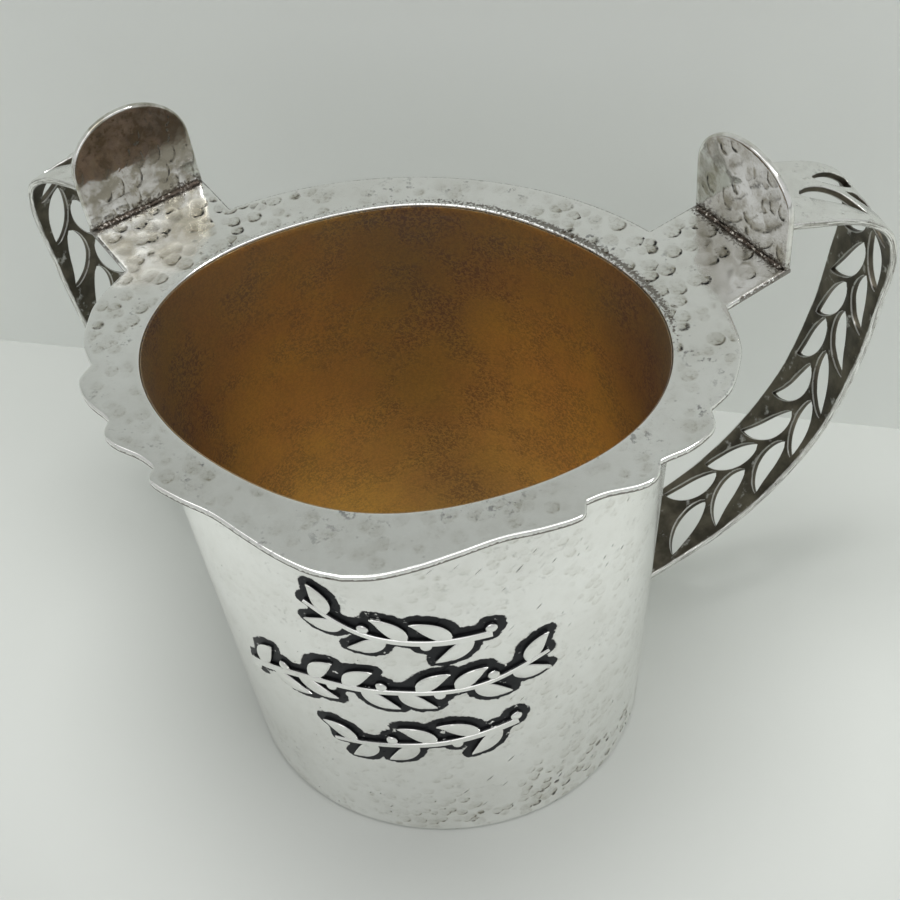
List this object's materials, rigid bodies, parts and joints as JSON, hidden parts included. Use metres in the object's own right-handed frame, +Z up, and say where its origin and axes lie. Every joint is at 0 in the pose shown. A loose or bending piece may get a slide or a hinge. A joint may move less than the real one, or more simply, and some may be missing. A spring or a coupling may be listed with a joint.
{
  "type": "two-handled ritual hand-washing cup",
  "caption": "Tapering hammered-silver cup with a stepped flat rim and pouring lip, upright thumb plates, two pierced strap handles and a gilded inside.",
  "frame": {"origin": "centre of the underside of the base, on the surface the cup stands on", "axes": "+Z up; the pouring lip points along -Y; the handles are on -X and +X, turned to the rear (+Y)"},
  "size_m": [0.2038, 0.1287, 0.1454],
  "materials": {
    "hammered_silver": "hammered sheet silver, polished, with fine dark oxide left in the hollows",
    "oxidised_silver": "pierced silver band, polished on the outer face and dark brown-grey on the inner face and in the cuts",
    "applied_silver": "applied silver sprays, bright on the face, with blackened ground beside them",
    "gilding": "worn matt gilding on the inside of the wall and on the upper face of the base"
  },
  "bodies": {
    "root": {"body_wall": "hammered_silver", "base_disc": "gilding", "rim_plate": "hammered_silver", "thumb_plate_left": "hammered_silver", "thumb_plate_right": "hammered_silver", "handle_strap_left": "oxidised_silver", "handle_strap_right": "oxidised_silver", "ornament_main_spray": "applied_silver", "ornament_upper_spray": "applied_silver", "ornament_lower_spray": "applied_silver"}
  },
  "joints": []
}
